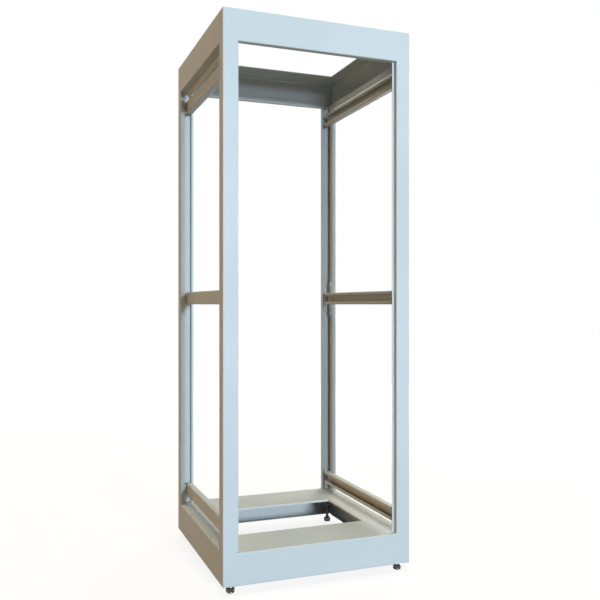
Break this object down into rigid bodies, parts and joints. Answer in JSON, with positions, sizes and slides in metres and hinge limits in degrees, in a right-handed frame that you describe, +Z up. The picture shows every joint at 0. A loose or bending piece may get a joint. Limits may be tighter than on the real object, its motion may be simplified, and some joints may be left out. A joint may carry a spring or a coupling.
{
  "type": "four post open frame rack",
  "caption": "Four post open frame rack of folded steel, with a deep base ring, an open top ring, channel struts along its sides and screw-in levelling feet.",
  "frame": {"origin": "middle of the footprint at the floor, under the feet", "axes": "+X to the right seen from the front, +Y to the rear, +Z up"},
  "size_m": [0.5716, 0.584, 1.598],
  "materials": {
    "frame_paint": "smooth satin light grey paint",
    "bright_zinc": "bright zinc plate",
    "polished_foot": "dark polished nickel plate"
  },
  "bodies": {
    "frame": {"base_rail_front": "frame_paint", "base_rail_rear": "frame_paint", "base_rail_left": "frame_paint", "base_rail_right": "frame_paint", "top_rail_front": "frame_paint", "top_rail_rear": "frame_paint", "top_rail_left": "frame_paint", "top_rail_right": "frame_paint", "post_front_left": "frame_paint", "foot_bracket_front_left": "frame_paint", "lock_nut_front_left": "bright_zinc", "post_front_right": "frame_paint", "foot_bracket_front_right": "frame_paint", "lock_nut_front_right": "bright_zinc", "post_rear_left": "frame_paint", "foot_bracket_rear_left": "frame_paint", "lock_nut_rear_left": "bright_zinc", "post_rear_right": "frame_paint", "foot_bracket_rear_right": "frame_paint", "lock_nut_rear_right": "bright_zinc", "strut_left_bottom": "frame_paint", "strut_bracket_left_bottom_front": "frame_paint", "strut_bracket_left_bottom_rear": "frame_paint", "strut_left_middle": "frame_paint", "strut_bracket_left_middle_front": "frame_paint", "strut_bracket_left_middle_rear": "frame_paint", "strut_left_top": "frame_paint", "strut_bracket_left_top_front": "frame_paint", "strut_bracket_left_top_rear": "frame_paint", "strut_right_bottom": "frame_paint", "strut_bracket_right_bottom_front": "frame_paint", "strut_bracket_right_bottom_rear": "frame_paint", "strut_right_middle": "frame_paint", "strut_bracket_right_middle_front": "frame_paint", "strut_bracket_right_middle_rear": "frame_paint", "strut_right_top": "frame_paint", "strut_bracket_right_top_front": "frame_paint", "strut_bracket_right_top_rear": "frame_paint"},
    "foot_front_left": {"levelling_foot_front_left": "polished_foot"},
    "foot_front_right": {"levelling_foot_front_right": "polished_foot"},
    "foot_rear_left": {"levelling_foot_rear_left": "polished_foot"},
    "foot_rear_right": {"levelling_foot_rear_right": "polished_foot"}
  },
  "joints": [
    {"name": "foot_screw_front_left", "type": "slide", "parent": "frame", "child": "foot_front_left", "axis": [0, 0, -1], "range_m": [-0.004, 0.012]},
    {"name": "foot_screw_front_right", "type": "slide", "parent": "frame", "child": "foot_front_right", "axis": [0, 0, -1], "range_m": [-0.004, 0.012]},
    {"name": "foot_screw_rear_left", "type": "slide", "parent": "frame", "child": "foot_rear_left", "axis": [0, 0, -1], "range_m": [-0.004, 0.012]},
    {"name": "foot_screw_rear_right", "type": "slide", "parent": "frame", "child": "foot_rear_right", "axis": [0, 0, -1], "range_m": [-0.004, 0.012]}
  ]
}
